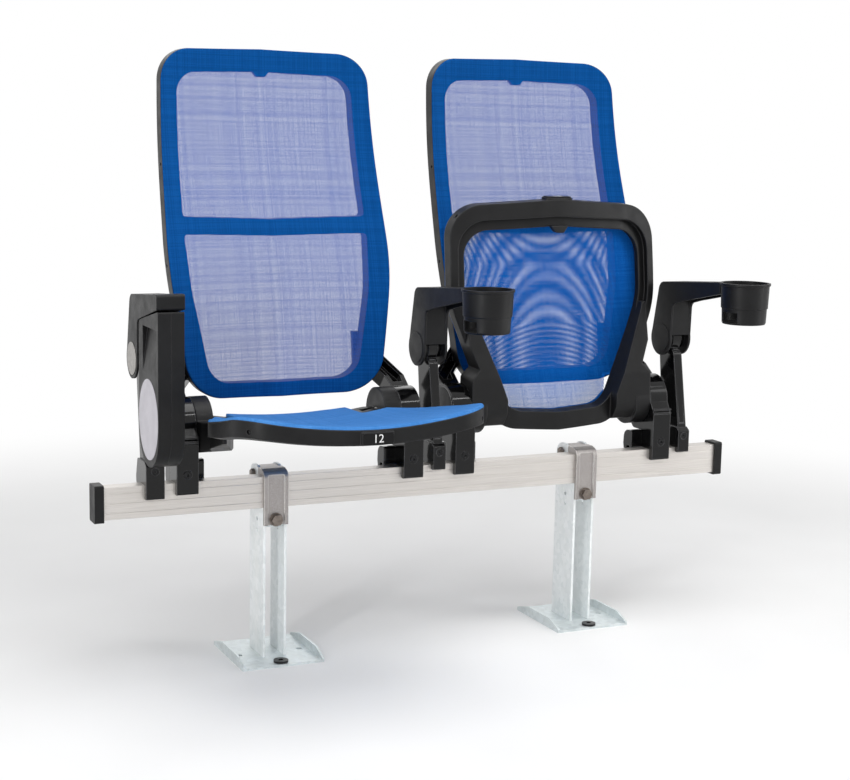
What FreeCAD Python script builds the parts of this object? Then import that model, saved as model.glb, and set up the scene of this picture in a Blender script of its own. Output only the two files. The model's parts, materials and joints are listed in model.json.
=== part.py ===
import FreeCAD, Part
import math
import os

V = FreeCAD.Vector

# Beam, a hollow extrusion along X with its front toward -Y
beamLength = 1221.0
beamDepth = 27.5
beamHeight = 55.0
beamTop = 328.0
beamWall = 2.5
grooveWidth = 1.6
grooveDepth = 0.6
capLength = 16.0
capOverhang = 4.5
capGrip = 6.0
capFit = 0.15

# Layout along the beam
pairShift = 6.0
pitch = 520.0
standSpread = 309.0

# Stands
plateWidth = 150.0
plateDepth = 164.0
plateFront = -64.0
plateThick = 4.0
flangeHeight = 19.0
postThick = 4.5
postGap = 34.0
postFront = -13.4
postRear = 58.0
saddleWidth = 44.0
saddleThick = 7.0
boltDia = 12.0
pinDia = 10.0
floorHoleSpread = 56.0
floorHoleY = 12.0
floorHoleDia = 11.0
floorBoltY = -48.0

# Seat hinge and brackets, all places relative to the seat's centre in X
hingeY = 35.0
hingeZ = 420.0
hubRadius = 47.0
bracketInner = 190.0
bracketWidth = 38.0
hubGap = 0.8
padHubWidth = 30.0
hubFloor = 4.0
seatPin = 16.0
springWire = 1.8
springCoil = 22.0
springPitch = 5.0
springTurns = 3.5
foldAngle = 86.0
jawWidth = 60.0
padThick = 9.0
padScrewLevels = (515.0, 545.0)
padScrewInset = 24.0

# Back, a wrapped and curved frame
backWrap = 560.0
backDepth = 26.0
backMesh = 2.5
backBottom = 450.0
backTop = 1064.0
backPath = [(430.0, 92.0), (520.0, 97.0), (610.0, 113.0), (700.0, 137.0),
            (800.0, 171.0), (900.0, 200.0), (990.0, 215.0), (1080.0, 220.0)]

# Seat pan, given at its seated place by distance in front of the hinge and height over it
panWrap = 860.0
panMesh = 6.0
panPath = [(-70.0, -34.0, -6.0), (20.0, -29.0, -3.0), (110.0, -23.0, 1.0),
           (210.0, -13.0, 12.0), (310.0, 5.0, 32.0), (400.0, 22.0, 45.0)]

# Arms
armPivotY = 35.0
armPivotZ = 537.0
armWidth = 46.0
armWall = 4.0
armCapRadius = 28.0
armPin = 12.0
armTopRear = 43.0
armTopHeight = 645.0
armTopRise = 0.082
armBulkhead = 2.0
endArmOut = 5.0
endArmFront = -119.0
uprightWidth = 18.0
cupRadius = 45.5
cupWall = 2.5
cupHeight = 74.0
cupY = -202.0
cupRim = 664.0

# End panel under the left arm
panelRear = -7.0
panelFront = -124.0
panelBottom = 370.0
panelWall = 3.0
badgeDepth = 57.0
badgeHeight = 67.0
badgeLevel = 449.0

# Clearances
fit = 0.05
bolted = 0.5
skin = 0.3

nodes = {}


def keep(name, shape):
    nodes[name] = shape


def box(x0, x1, y0, y1, z0, z1):
    return Part.makeBox(x1 - x0, y1 - y0, z1 - z0, V(x0, y0, z0))


def rodX(x0, x1, y, z, r):
    return Part.makeCylinder(r, x1 - x0, V(x0, y, z), V(1, 0, 0))


def rodY(y0, y1, x, z, r):
    return Part.makeCylinder(r, y1 - y0, V(x, y0, z), V(0, 1, 0))


def rodZ(z0, z1, x, y, r):
    return Part.makeCylinder(r, z1 - z0, V(x, y, z0), V(0, 0, 1))


def fuse(shapes):
    first = shapes[0]
    if len(shapes) > 1:
        first = first.fuse(shapes[1:])
    return first.removeSplitter()


def place(axis, u, v, at):
    if axis == "x":
        return V(at, u, v)
    if axis == "y":
        return V(u, at, v)
    return V(u, v, at)


# Closed outline from corners (u, v, radius), its corners rounded
def outline(corners, axis, at):
    flat = [V(c[0], c[1], 0) for c in corners]
    count = len(corners)
    ends = []
    for i in range(count):
        back = flat[i - 1] - flat[i]
        ahead = flat[(i + 1) % count] - flat[i]
        back.normalize()
        ahead.normalize()
        radius = corners[i][2]
        half = back.getAngle(ahead) / 2
        if radius < 0.01 or half > 1.5705:
            ends.append((flat[i], None, flat[i]))
            continue
        reach = radius / math.tan(half)
        middle = back + ahead
        middle.normalize()
        top = flat[i] + middle * (radius / math.sin(half) - radius)
        ends.append((flat[i] + back * reach, top, flat[i] + ahead * reach))
    edges = []
    for i in range(count):
        start, top, stop = ends[i]
        if top is not None:
            arc = [place(axis, p.x, p.y, at) for p in (start, top, stop)]
            edges.append(Part.Arc(*arc).toShape())
        after = ends[(i + 1) % count][0]
        if stop.distanceToPoint(after) > 0.001:
            edges.append(Part.makeLine(place(axis, stop.x, stop.y, at), place(axis, after.x, after.y, at)))
    return Part.Wire(edges)


def prism(corners, axis, a0, a1):
    face = Part.Face(outline(corners, axis, a0))
    ways = {"x": V(1, 0, 0), "y": V(0, 1, 0), "z": V(0, 0, 1)}
    return face.extrude(ways[axis] * (a1 - a0))


# Full outline from its right half, listed from the top down
def bothSides(half, centre=0.0):
    right = [(centre + u, v, r) for u, v, r in half]
    left = [(centre - u, v, r) for u, v, r in reversed(half) if u > 0.01]
    return right + left


# Same half outline drawn in or out by a margin
def grown(half, by):
    full = bothSides(half)
    wire = outline(full, "z", 0.0).makeOffset2D(by)
    return Part.Face(wire)


def standUp(face, a0, a1):
    turned = face.copy()
    turned.rotate(V(0, 0, 0), V(1, 0, 0), 90)
    turned.translate(V(0, a0, 0))
    return turned.extrude(V(0, a1 - a0, 0))


def wrapDrop(radius, half):
    return radius - math.sqrt(radius * radius - half * half)


# One slab section, bent across X, between two depths
def bandWire(axis, at, front, rear, half, drop):
    points = []
    for depth in (front, rear):
        points.append([place3(axis, x, depth - (drop if x else 0.0), at) for x in (-half, 0.0, half)])
    near, far = points
    edges = [Part.Arc(*near).toShape(), Part.makeLine(near[2], far[2]),
             Part.Arc(*reversed(far)).toShape(), Part.makeLine(far[0], near[0])]
    return Part.Wire(edges)


def place3(axis, x, depth, at):
    if axis == "z":
        return V(x, depth, at)
    return V(x, at, depth)


def backSlab(front, rear):
    half = 235.0
    drop = wrapDrop(backWrap, half)
    wires = [bandWire("z", z, y + front, y + rear, half, drop) for z, y in backPath]
    return Part.makeLoft(wires, True, False)


# Slab of the seat pan between two heights over its lower or upper face
def panSlab(lowOnTop, low, highOnTop, high):
    half = 235.0
    drop = -wrapDrop(panWrap, half)
    wires = []
    for ahead, under, over in panPath:
        bottom = hingeZ + (over if lowOnTop else under) + low
        top = hingeZ + (over if highOnTop else under) + high
        wires.append(bandWire("y", hingeY - ahead, bottom, top, half, drop))
    return Part.makeLoft(wires, True, False)


backOutline = [(0.0, backTop, 0.0), (193.0, backTop - 5, 58.0), (208.0, 680.0, 600.0),
               (177.0, backBottom + 5, 76.0), (0.0, backBottom, 0.0)]
upperWindow = [(0.0, 1024.0, 0.0), (164.0, 1019.0, 40.0), (171.0, 768.0, 7.0), (0.0, 762.0, 0.0)]
lowerWindow = [(0.0, 733.0, 0.0), (172.0, 738.0, 6.0), (166.0, 640.0, 200.0), (137.0, 480.0, 46.0),
               (0.0, 476.0, 0.0)]
backClips = [(685.0, 108.0), (858.0, 162.0)]
windowTab = [(-17.0, 1026.0, 0.0), (-8.0, 1015.0, 3.0), (8.0, 1015.0, 3.0), (17.0, 1026.0, 0.0)]


# The pan's outlines as (x, distance in front of the hinge)
panOutline = [(0.0, 383.0, 0.0), (214.0, 368.0, 66.0), (216.0, 190.0, 160.0), (129.0, -36.0, 64.0),
              (0.0, -44.0, 0.0)]
panWindow = [(0.0, 333.0, 0.0), (185.0, 322.0, 50.0), (186.0, 196.0, 130.0), (106.0, -4.0, 46.0),
             (0.0, -10.0, 0.0)]
panStep = [(0.0, 352.0, 0.0), (200.0, 341.0, 58.0), (201.0, 194.0, 140.0), (116.0, -20.0, 52.0),
           (0.0, -26.0, 0.0)]
panShoulder = [(100.0, 150.0, 0.0), (189.2, 60.0, 12.0), (189.2, -44.0, 0.0), (100.0, -44.0, 0.0)]
panClip = (196.0, 347.0)


def panPrism(half, low, high):
    corners = [(u, hingeY - v, r) for u, v, r in bothSides(half)]
    return prism(corners, "z", low, high)


def makeBeam():
    half = beamDepth / 2
    low = beamTop - beamHeight
    body = box(-beamLength / 2, beamLength / 2, -half, half, low, beamTop)
    web = (beamHeight - 3 * beamWall) / 2
    cuts = []
    for floor in (low + beamWall, low + 2 * beamWall + web):
        cuts.append(box(-beamLength / 2, beamLength / 2, -half + beamWall, half - beamWall, floor, floor + web))
    for level in (0.2, 0.5, 0.8):
        z = low + level * beamHeight
        for side in (-half, half - grooveDepth):
            cuts.append(box(-beamLength / 2, beamLength / 2, side, side + grooveDepth,
                            z - grooveWidth / 2, z + grooveWidth / 2))
    keep("beam", body.cut(cuts))


def makeBeamCap(name, side):
    half = beamDepth / 2 + capOverhang
    low = beamTop - beamHeight - capOverhang
    corners = [(-half, low, 4), (half, low, 4), (half, beamTop + capOverhang, 4), (-half, beamTop + capOverhang, 4)]
    cap = prism(corners, "x", 0, capLength)
    grip = box(0, capGrip, -beamDepth / 2 - capFit, beamDepth / 2 + capFit,
               beamTop - beamHeight - capFit, beamTop + capFit)
    web = (beamHeight - 3 * beamWall) / 2
    plugs = []
    for floor in (beamTop - beamHeight + beamWall, beamTop - beamWall - web):
        reach = beamDepth / 2 - beamWall - capFit
        plug = box(-10, capGrip, -reach, reach, floor + capFit, floor + web - capFit)
        hollow = box(-10, capGrip, -reach + 2, reach - 2, floor + capFit + 2, floor + web - capFit - 2)
        plugs.append(plug.cut(hollow))
    cap = fuse([cap.cut(grip)] + plugs)
    cap.translate(V(beamLength / 2 - capGrip, 0, 0))
    if side < 0:
        cap = cap.mirror(V(0, 0, 0), V(1, 0, 0))
    keep(name, cap)


def makeFloorPlate(name, x):
    rear = plateFront + plateDepth
    plate = box(x - plateWidth / 2, x + plateWidth / 2, plateFront, rear, 0, plateThick)
    low = plateThick + 3
    profile = [(plateFront, 0, 0), (plateFront, low, 2), (plateFront + 34, flangeHeight, 30),
               (rear - 46, flangeHeight, 40), (rear, low, 2), (rear, 0, 0)]
    left = prism(profile, "x", x - plateWidth / 2, x - plateWidth / 2 + plateThick)
    right = prism(profile, "x", x + plateWidth / 2 - plateThick, x + plateWidth / 2)
    holes = [rodZ(-1, plateThick + 1, x + s * floorHoleSpread, floorHoleY, floorHoleDia / 2) for s in (-1, 1)]
    holes.append(rodZ(-1, plateThick + 1, x, floorBoltY, 5.0 + bolted))
    keep(name, fuse([plate, left, right]).cut(holes))


def makePost(name, x, side):
    low = beamTop - beamHeight
    corners = [(postFront, plateThick, 0), (postFront, low, 2), (beamDepth / 2 + skin, low, 0),
               (beamDepth / 2 + skin, beamTop + 14, 10), (postRear, beamTop + 14, 22), (postRear, plateThick, 0)]
    start = x + side * postGap / 2
    plate = prism(corners, "x", min(start, start + side * postThick), max(start, start + side * postThick))
    bore = rodX(x - 40, x + 40, 37, beamTop - 4, pinDia / 2 + bolted)
    slot = rodX(x - 40, x + 40, 20, low - 26, 4.0)
    block = rodX(x - 40, x + 40, 20, low - 46, 3.0)
    keep(name, plate.cut([bore, slot, block]))


def makeClampNut(name, x):
    low = beamTop - beamHeight - 36
    nut = box(x - postGap / 2, x + postGap / 2, -8, 14, low, low + 30)
    lane = rodY(-20, 30, x, beamTop - beamHeight - 21, boltDia / 2)
    keep(name, nut.cut(lane))


# Cast hook over the beam: ribbed front leg, rounded top and a rear lug between the posts
def makeSaddle(name, x):
    half = beamDepth / 2
    front = -half - saddleThick
    low = beamTop - beamHeight
    top = beamTop + saddleThick + 5
    side = [(front, low - 31, 2), (front, top - 6, 13), (-half + 12, top, 10), (half + 34, top, 14),
            (half + 34, beamTop - 16, 10), (half + skin, beamTop - 16, 0), (half + skin, beamTop, 0),
            (-half, beamTop, 0), (-half, low - 31, 0)]
    body = prism(side, "x", x - saddleWidth / 2, x + saddleWidth / 2)
    lug = postGap / 2 - 0.4
    trims = [box(x + lug, x + 40, half, 80, beamTop - 20, top + 1),
             box(x - 40, x - lug, half, 80, beamTop - 20, top + 1)]
    pocket = [(x - 15, low - 40, 0), (x + 15, low - 40, 0), (x + 15, top - 9, 3), (x - 15, top - 9, 3)]
    trims.append(prism(pocket, "y", front - 1, front + 2.5))
    slot = [(x - 6.6, low - 40, 0), (x + 6.6, low - 40, 0), (x + 6.6, low - 14, 6.5), (x - 6.6, low - 14, 6.5)]
    trims.append(prism(slot, "y", front - 1, -half + 1))
    trims.append(rodX(x - 40, x + 40, 37, beamTop - 4, pinDia / 2 + bolted))
    keep(name, body.cut(trims))


def hexHead(across, height):
    radius = across / math.sqrt(3)
    points = [V(radius * math.cos(a * math.pi / 3), radius * math.sin(a * math.pi / 3), 0) for a in range(7)]
    return Part.Face(Part.makePolygon(points)).extrude(V(0, 0, height))


def turned(shape, axis, angle, x, y, z):
    copy = shape.copy()
    copy.rotate(V(0, 0, 0), axis, angle)
    copy.translate(V(x, y, z))
    return copy


def makeSaddleBolts(centres):
    bolts = []
    level = beamTop - beamHeight - 21
    seat = -beamDepth / 2 - saddleThick + 2.5
    for x in centres:
        washer = rodY(seat - 2, seat, x, level, 12.0)
        head = turned(hexHead(18.0, 8.0), V(1, 0, 0), 90, x, seat - 2, level)
        shank = rodY(seat - 2, 20, x, level, boltDia / 2 - fit)
        bolts.append(fuse([washer, head, shank]))
    keep("saddle_bolts", Part.makeCompound(bolts))


def makeSaddlePins(centres):
    pins = []
    reach = postGap / 2 + postThick
    for x in centres:
        shank = rodX(x - reach - 7, x + reach + 7, 37, beamTop - 4, pinDia / 2)
        head = turned(hexHead(16.0, 6.0), V(0, 1, 0), -90, x - reach, 37, beamTop - 4)
        nut = turned(hexHead(16.0, 7.0), V(0, 1, 0), 90, x + reach, 37, beamTop - 4)
        pins.append(fuse([shank, head, nut]))
    keep("saddle_pins", Part.makeCompound(pins))


def makeFloorBolts(centres):
    bolts = []
    for x in centres:
        head = rodZ(plateThick, plateThick + 4, x, floorBoltY, 13.0)
        socket = rodZ(plateThick + 1.5, plateThick + 5, x, floorBoltY, 4.5)
        shank = rodZ(0, plateThick, x, floorBoltY, 5.0)
        bolts.append(fuse([head, shank]).cut(socket))
    keep("floor_bolts", Part.makeCompound(bolts))


# Shapes for a seat are drawn for its right side, then mirrored and moved to the seat's centre
def atSeat(shape, side, centre):
    copy = shape.copy()
    if side < 0:
        copy = copy.mirror(V(0, 0, 0), V(1, 0, 0))
    copy.translate(V(centre, 0, 0))
    return copy


# Ruled body through four-cornered stations
def ruled(stations):
    wires = [Part.makePolygon([V(*p) for p in corners + corners[:1]]) for corners in stations]
    return Part.makeLoft(wires, True, True)


# Station of the carrier arm: its width along X, and its upper and lower edge in the side view
def armStation(x0, x1, upper, lower):
    return [(x0, *upper), (x1, *upper), (x1, *lower), (x0, *lower)]


# Ribbed arm from the hub back and inward to the pad, cleared round the back frame's edge
def carrierArm():
    x0 = bracketInner
    x1 = bracketInner + bracketWidth
    arm = ruled([armStation(x0 + 3, x1 - 3, (34, 462), (60, 434)),
                 armStation(x0, x1, (70, 482), (92, 458)),
                 armStation(x0 - 44, x0 - 6, (98, 528), (118, 502))])
    trough = ruled([armStation(x0 + 10, x1 - 10, (52, 474), (66, 459)),
                    armStation(x0 + 8, x1 - 8, (66, 486), (80, 471)),
                    armStation(x0 - 36, x0 - 14, (94, 532), (108, 515))])
    keepOut = backSlab(-backMesh - 1, backDepth).common(standUp(grown(backOutline, 2 * skin), 0, 320))
    return arm.cut([trough, keepOut])


def bracketShape():
    half = beamDepth / 2
    x0 = bracketInner
    x1 = bracketInner + bracketWidth
    body = prism([(-25, beamTop - 20, 4), (-25, 398, 14), (4, 446, 10), (75, 436, 10), (72, 388, 12),
                  (48, beamTop + 33, 12), (half + 2.5, beamTop + 33, 3), (half + 2.5, beamTop, 0), (-half, beamTop, 0),
                  (-half, beamTop - 20, 2)], "x", x0, x1)
    hub = rodX(x0, x1, hingeY, hingeZ, hubRadius)
    pad = backSlab(backDepth, backDepth + padThick).common(box(x0 - 48, x0 - 6, 40, 160, 500, 560))
    ridge = box(x0, x1, -26.5, -20, 397, 400).fuse(box(x0, x1, -26.5, -20, 404, 407))
    bracket = fuse([body, hub, carrierArm(), pad, ridge])
    cuts = [rodX(x1 - 14, x1 + 1, hingeY, hingeZ, hubRadius - 6),
            rodX(x0 - 1, x1 - 10, hingeY, hingeZ, seatPin / 2 + fit),
            rodY(-40, 40, x0 + bracketWidth / 2, beamTop + 15, 4.0 + bolted),
            rodY(-40, -20, x0 + bracketWidth / 2, beamTop + 15, 7.5)]
    for z in padScrewLevels:
        cuts.append(rodY(40, 160, x0 - padScrewInset, z, 3.0 + bolted))
        cuts.append(rodY(padRear(z), 160, x0 - padScrewInset, z, 7.0))
    return bracket.cut(cuts)


def jawShape():
    x0 = bracketInner + bracketWidth - jawWidth
    jaw = prism([(beamDepth / 2 + 0.1, beamTop - 28, 2), (beamDepth / 2 + 0.1, beamTop, 0),
                 (beamDepth / 2 + 2.6, beamTop, 0), (beamDepth / 2 + 2.6, beamTop + 32, 4), (44, beamTop + 32, 16),
                 (46, beamTop + 4, 8), (38, beamTop - 28, 6)], "x", x0, bracketInner + bracketWidth)
    relief = prism([(22, beamTop - 14, 3), (22, beamTop + 2, 2), (36, beamTop + 2, 6), (33, beamTop - 14, 3)], "x",
                   x0 - 1, bracketInner - 4)
    lane = rodY(0, 60, bracketInner + bracketWidth / 2, beamTop + 15, 4.0)
    return jaw.cut([relief, lane])


def bracketScrewShape():
    x = bracketInner + bracketWidth / 2
    z = beamTop + 15
    head = rodY(-26, -20, x, z, 6.5)
    socket = rodY(-27, -23, x, z, 3.0)
    return head.fuse(rodY(-20, 52, x, z, 4.0 - fit)).removeSplitter().cut(socket)


def hubCapShape():
    x1 = bracketInner + bracketWidth
    cap = rodX(x1 - 3, x1, hingeY, hingeZ, hubRadius - 6 - 0.2)
    lip = rodX(x1 - 14, x1 - 3, hingeY, hingeZ, hubRadius - 7)
    bore = rodX(x1 - 14, x1 - 3, hingeY, hingeZ, hubRadius - 10)
    return fuse([cap, lip.cut(bore)])


def seatPinShape():
    pin = rodX(bracketInner - hubGap - padHubWidth, bracketInner + bracketWidth - 11, hingeY, hingeZ, seatPin / 2)
    collar = rodX(bracketInner + bracketWidth - 14, bracketInner + bracketWidth - 10, hingeY, hingeZ, 12.0)
    return fuse([pin, collar])


# Seat of a back screw's head, sunk a little in the carrier's pad
def padRear(z):
    for (z0, y0), (z1, y1) in zip(backPath, backPath[1:]):
        if z0 <= z <= z1:
            y = y0 + (y1 - y0) * (z - z0) / (z1 - z0)
    return y - wrapDrop(backWrap, bracketInner - padScrewInset) + backDepth + padThick - 3.0


def backScrewShape():
    screws = []
    for z in padScrewLevels:
        rear = padRear(z)
        shank = rodY(rear - 22, rear, bracketInner - padScrewInset, z, 3.0)
        head = rodY(rear, rear + 4, bracketInner - padScrewInset, z, 6.0)
        screws.append(fuse([shank, head]))
    return screws


def makeBackFrame(name, centre):
    body = backSlab(0, backDepth).common(prism(bothSides(backOutline), "y", -20, 320))
    body = body.cut([prism(bothSides(upperWindow), "y", -20, 320), prism(bothSides(lowerWindow), "y", -20, 320)])
    tab = backSlab(0, 8).common(prism(windowTab, "y", -20, 320))
    channel = standUp(grown(backOutline, -4.0), 0, 320)
    for window in (upperWindow, lowerWindow):
        channel = channel.cut(standUp(grown(window, 4.0), 0, 320))
    ribs = [box(-240, 240, 0, 320, z - 1.5, z + 1.5) for z in (530, 600, 670, 820, 900, 980)]
    ribs += [box(x - 1.5, x + 1.5, 0, 320, 440, 1080) for x in (-90, 0, 90)]
    ribs.append(box(140, 192, 0, 320, 500, 560))
    ribs.append(box(-192, -140, 0, 320, 500, 560))
    channel = channel.cut(ribs).common(backSlab(5, backDepth + 12))
    frame = fuse([body.cut(channel), tab])
    drills = [rodY(padRear(z) - 23, 170, s * (bracketInner - padScrewInset), z, 3.0 + fit)
              for s in (-1, 1) for z in padScrewLevels]
    for z, y in backClips:
        half = 208.0 - 15.0 * max(z - 680.0, 0.0) / 379.0 - 1.5
        drills += [rodX(min(s * (half - 2.5), s * (half + 12)), max(s * (half - 2.5), s * (half + 12)), y, z, 3.2)
                   for s in (-1, 1)]
    frame = frame.cut(drills)
    frame.translate(V(centre, 0, 0))
    keep(name, frame)


def makeBackMesh(name, centre):
    sheet = backSlab(-backMesh, 0).common(prism(bothSides(backOutline), "y", -20, 320))
    sheet.translate(V(centre, 0, 0))
    keep(name, sheet)


# Deep cheek on each side of the pan, from its rail down to the hub
def panCheek():
    rail = prism([(hingeY + 30, hingeZ - 30, 10), (hingeY + 4, hingeZ - hubRadius + 1, 30),
                  (hingeY - 60, hingeZ - 40, 30), (hingeY - 190, hingeZ - 2, 0), (hingeY - 190, hingeZ + 12, 0),
                  (hingeY - 60, hingeZ + 12, 0), (hingeY + 30, hingeZ + 8, 4)], "x", 116, 189.2)
    plan = panPrism(panOutline, 300, 520).fuse(prism([(u, hingeY - v, r) for u, v, r in panShoulder], "z", 300, 520))
    return rail.common(plan).cut([panPrism(panWindow, 300, 520), panSlab(True, 0, True, 90)])


def panFrameShape():
    slab = panSlab(False, 0, True, 0)
    ring = slab.common(panPrism(panOutline, 300, 520)).cut(panPrism(panWindow, 300, 520))
    step = panSlab(False, -5, True, -13).common(panPrism(panStep, 300, 520))
    step = step.cut(box(-240, 240, -20, 90, 300, 520))
    ring = ring.cut(step)
    cheek = panCheek()
    hub0 = bracketInner - hubGap - padHubWidth
    hub1 = bracketInner - hubGap
    hubs = []
    hollows = []
    for s in (-1, 1):
        a, b = sorted((s * hub0, s * hub1))
        hubs.append(rodX(a, b, hingeY, hingeZ, hubRadius))
        a, b = sorted((s * (hub0 + hubFloor), s * (hub1 + 1)))
        ringHollow = rodX(a, b, hingeY, hingeZ, hubRadius - 5).cut(rodX(a, b, hingeY, hingeZ, 15))
        hollows.append(ringHollow)
        a, b = sorted((s * (hub0 - 30), s * (hub1 + 1)))
        hollows.append(rodX(a, b, hingeY, hingeZ, 11.0 + fit))
    mirrored = cheek.mirror(V(0, 0, 0), V(1, 0, 0))
    frame = fuse([ring, cheek, mirrored] + hubs)
    tabBox = panSlab(False, 2, True, -12).common(panPrism([(0, 335, 0), (18, 335, 0), (8, 322, 3), (0, 322, 0)],
                                                          300, 520))
    frame = fuse([frame, tabBox]).cut(hollows)
    plate = box(-27, 27, hingeY - 386, hingeY - 372, hingeZ + 20.5, hingeZ + 40.8)
    across, ahead = panClip
    clips = [Part.makeCylinder(4.0, 14.0, V(s * (across - 1.5), hingeY - ahead + 1.5, hingeZ + 46), V(s, -1, 0))
             for s in (-1, 1)]
    return fuse([frame, plate]).cut(clips)


# Blue pad over the ring, thin across the window and rolled round the rim
def panMeshShape():
    body = panSlab(True, skin, True, panMesh).common(panPrism(panOutline, 300, 560))
    inner = panSlab(True, -1, True, panMesh - 2.5).common(panPrism(panWindow, 300, 560))
    clear = [rodX(s * 175 - 60, s * 175 + 60, hingeY, hingeZ, hubRadius + 0.5) for s in (-1, 1)]
    return body.cut([inner] + clear)


def numberPlateShape():
    corners = [(-26, hingeZ + 21, 5), (26, hingeZ + 21, 5), (26, hingeZ + 40, 5), (-26, hingeZ + 40, 5)]
    return prism(corners, "y", hingeY - 388, hingeY - 386)


def bushShape(side):
    a = side * (bracketInner - hubGap)
    b = side * (bracketInner - hubGap - padHubWidth)
    low, high = min(a, b), max(a, b)
    return rodX(low, high, hingeY, hingeZ, 11.0).cut(rodX(low, high, hingeY, hingeZ, seatPin / 2 + fit))


# One circular arc that leaves start along heading and ends at end
def arcAlong(start, heading, end):
    chord = end - start
    across = heading - chord * (heading.dot(chord) / chord.dot(chord))
    bend = heading.getAngle(chord)
    middle = (start + end) * 0.5 + across.normalize() * (chord.Length / 2 * math.tan(bend / 2))
    return Part.Arc(start, middle, end).toShape()


# Two arcs that join smoothly between two places with given headings
def biarc(start, startHeading, end, endHeading):
    chord = end - start
    turnBack = 2 * (1 - startHeading.dot(endHeading))
    drift = 2 * chord.dot(startHeading + endHeading)
    reach = (math.sqrt(drift * drift + 4 * turnBack * chord.dot(chord)) - drift) / (2 * turnBack)
    meeting = (start + startHeading * reach + end - endHeading * reach) * 0.5
    return [arcAlong(start, startHeading, meeting), arcAlong(end, endHeading * -1, meeting)]


# Torsion spring round the pin, one tube over half-turn biarcs, its wire drawn with eight flats
def springShape():
    start = bracketInner - hubGap - padHubWidth + hubFloor + springWire + 0.1

    def place(turns):
        angle = 2 * math.pi * turns
        return V(springCoil * math.cos(angle), springCoil * math.sin(angle), springPitch * turns)

    def heading(turns):
        quarterOn = place(turns + 0.25) - V(0, 0, springPitch * (turns + 0.25))
        return (quarterOn * (2 * math.pi) + V(0, 0, springPitch)).normalize()

    spine = []
    for half in range(int(springTurns * 2)):
        spine += biarc(place(half / 2), heading(half / 2), place(half / 2 + 0.5), heading(half / 2 + 0.5))
    out = V(1, 0, 0)
    up = heading(0).cross(out)
    corners = []
    for k in range(9):
        angle = math.pi * (k + 0.5) / 4
        corners.append(place(0) + out * (springWire * math.cos(angle)) + up * (springWire * math.sin(angle)))
    spring = Part.Wire(Part.__sortEdges__(spine)).makePipeShell([Part.makePolygon(corners)], True, False)
    return turned(spring, V(0, 1, 0), 90, start, hingeY, hingeZ)


def folded(shape):
    copy = shape.copy()
    copy.rotate(V(0, hingeY, hingeZ), V(-1, 0, 0), foldAngle)
    return copy


def makeSeat(name, centre, up):
    frame = panFrameShape()
    mesh = panMeshShape()
    number = numberPlateShape()
    bushes = Part.makeCompound([bushShape(-1), bushShape(1)])
    for part, shape in (("pan_frame", frame), ("pan_mesh", mesh), ("number_plate", number), ("bushes", bushes)):
        if up:
            shape = folded(shape)
        keep(part + "_" + name, atSeat(shape, 1, centre))
    keep("torsion_spring_" + name, atSeat(springShape(), 1, centre))
    bracket = bracketShape()
    for side, label in ((-1, "a"), (1, "b")):
        keep("seat_bracket_" + name + "_" + label, atSeat(bracket, side, centre))
    keep("clamp_jaws_" + name, Part.makeCompound([atSeat(jawShape(), s, centre) for s in (-1, 1)]))
    makeBackFrame("back_frame_" + name, centre)
    makeBackMesh("back_mesh_" + name, centre)


def makeSeatFasteners(centres):
    groups = {"bracket_screws": [bracketScrewShape()], "hub_caps": [hubCapShape()],
              "seat_pins": [seatPinShape()], "back_screws": backScrewShape()}
    for name, shapes in groups.items():
        everywhere = [atSeat(s, side, c) for s in shapes for side in (-1, 1) for c in centres]
        keep(name, Part.makeCompound(everywhere))


# Upright of an arm: channel open to the rear, round head at the pivot, foot hooked on the beam
def uprightShape(footWidth, hookDrop):
    half = uprightWidth / 2
    front = beamDepth / 2
    blade = [(-24, beamTop + 2, 0), (-20, 352, 10), (11, 520, 20), (60, 520, 20), (38, 352, 10), (38, beamTop + 2, 0)]
    body = prism(blade, "x", -half, half)
    head = rodX(-half, half, armPivotY, armPivotZ, 24)
    reach = armWidth / 2 - armWall - skin
    boss = rodX(-reach, reach, armPivotY, armPivotZ, 20)
    hollow = [(-16, 372, 4), (13, 516, 6), (80, 516, 0), (80, 372, 0)]
    body = fuse([body, head]).cut(prism(hollow, "x", -half + 3, half - 3))
    wide = footWidth / 2
    foot = prism([(-25, beamTop - hookDrop, 3), (-25, beamTop + 34, 4), (-16, beamTop + 40, 4), (30, beamTop + 40, 6),
                  (40, beamTop + 6, 8), (34, beamTop - 20, 5), (front, beamTop - 20, 0), (front, beamTop, 0),
                  (-front, beamTop, 0), (-front, beamTop - hookDrop, 2)], "x", -wide, wide)
    lane = rodY(-40, 60, 0, beamTop + 24, 3.5 + bolted)
    well = rodY(-40, -19, 0, beamTop + 24, 6.5)
    bore = rodX(-40, 40, armPivotY, armPivotZ, armPin / 2)
    return fuse([body, foot, boss]).cut([lane, well, bore])


def armProfile(front, top0, top1, deep, inset=0.0):
    topAt = top1
    return [(armPivotY + 34 - inset, armPivotZ, 0), (46 - inset, top0 - inset, 18),
            (front + inset, topAt - inset, 4), (front + inset, topAt - deep, 3), (-32, 614, 50), (0, 606, 12),
            (armBulkhead + inset, armPivotZ + 8, 0)]


def armTopAt(y):
    return armTopHeight + armTopRise * (armTopRear - y)


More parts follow.
